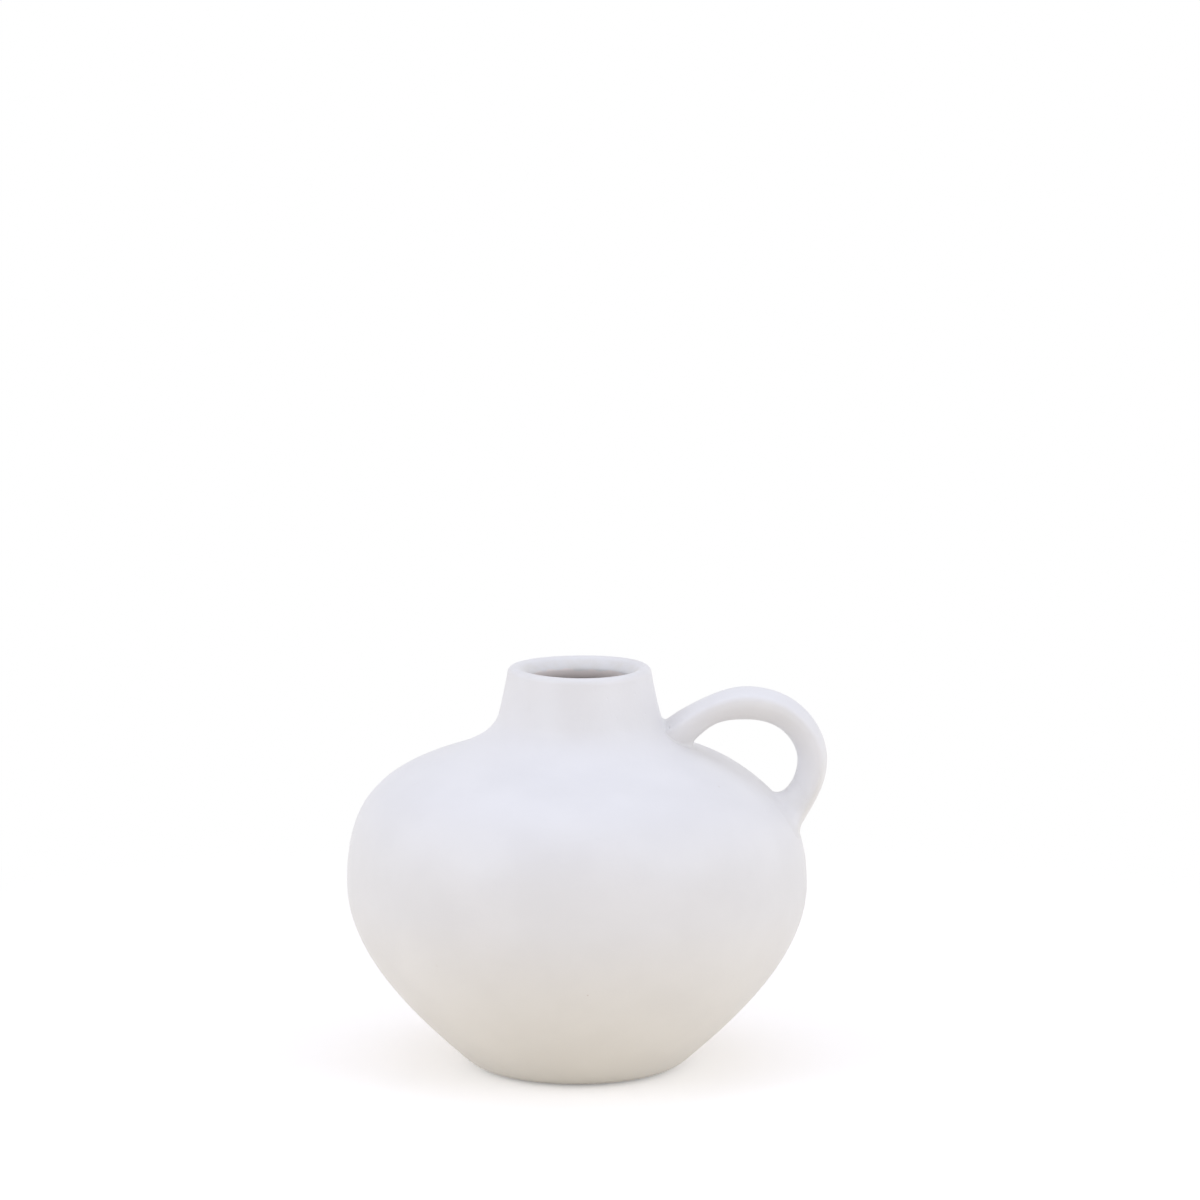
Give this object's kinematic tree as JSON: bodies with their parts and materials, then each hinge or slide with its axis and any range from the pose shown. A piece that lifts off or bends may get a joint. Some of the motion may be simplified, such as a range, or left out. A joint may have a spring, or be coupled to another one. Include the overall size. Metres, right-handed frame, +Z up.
{
  "type": "handled vase",
  "caption": "Squat round ceramic vase with a short neck, a rolled lip and an ear-shaped handle from neck to shoulder, for a few cut stems.",
  "frame": {"origin": "On the table, in the middle of the underside of the box round the whole vase. The axis of the round body stands 3.7 mm towards -X from it, because the handle reaches past the belly on +X.", "axes": "+Z up along the axis of the body, +X out through the handle, +Y to the back for someone who sees the handle on the right; the plane y = 0 is the mirror plane."},
  "size_m": [0.1784, 0.171, 0.15],
  "materials": {
    "white_ceramic": "smooth matte white glaze",
    "slip": "smeared slip under the same matte white glaze"
  },
  "bodies": {
    "root": {"vase_body": "white_ceramic", "handle": "white_ceramic", "upper_slip_joint": "slip", "lower_slip_joint": "slip"}
  },
  "joints": []
}
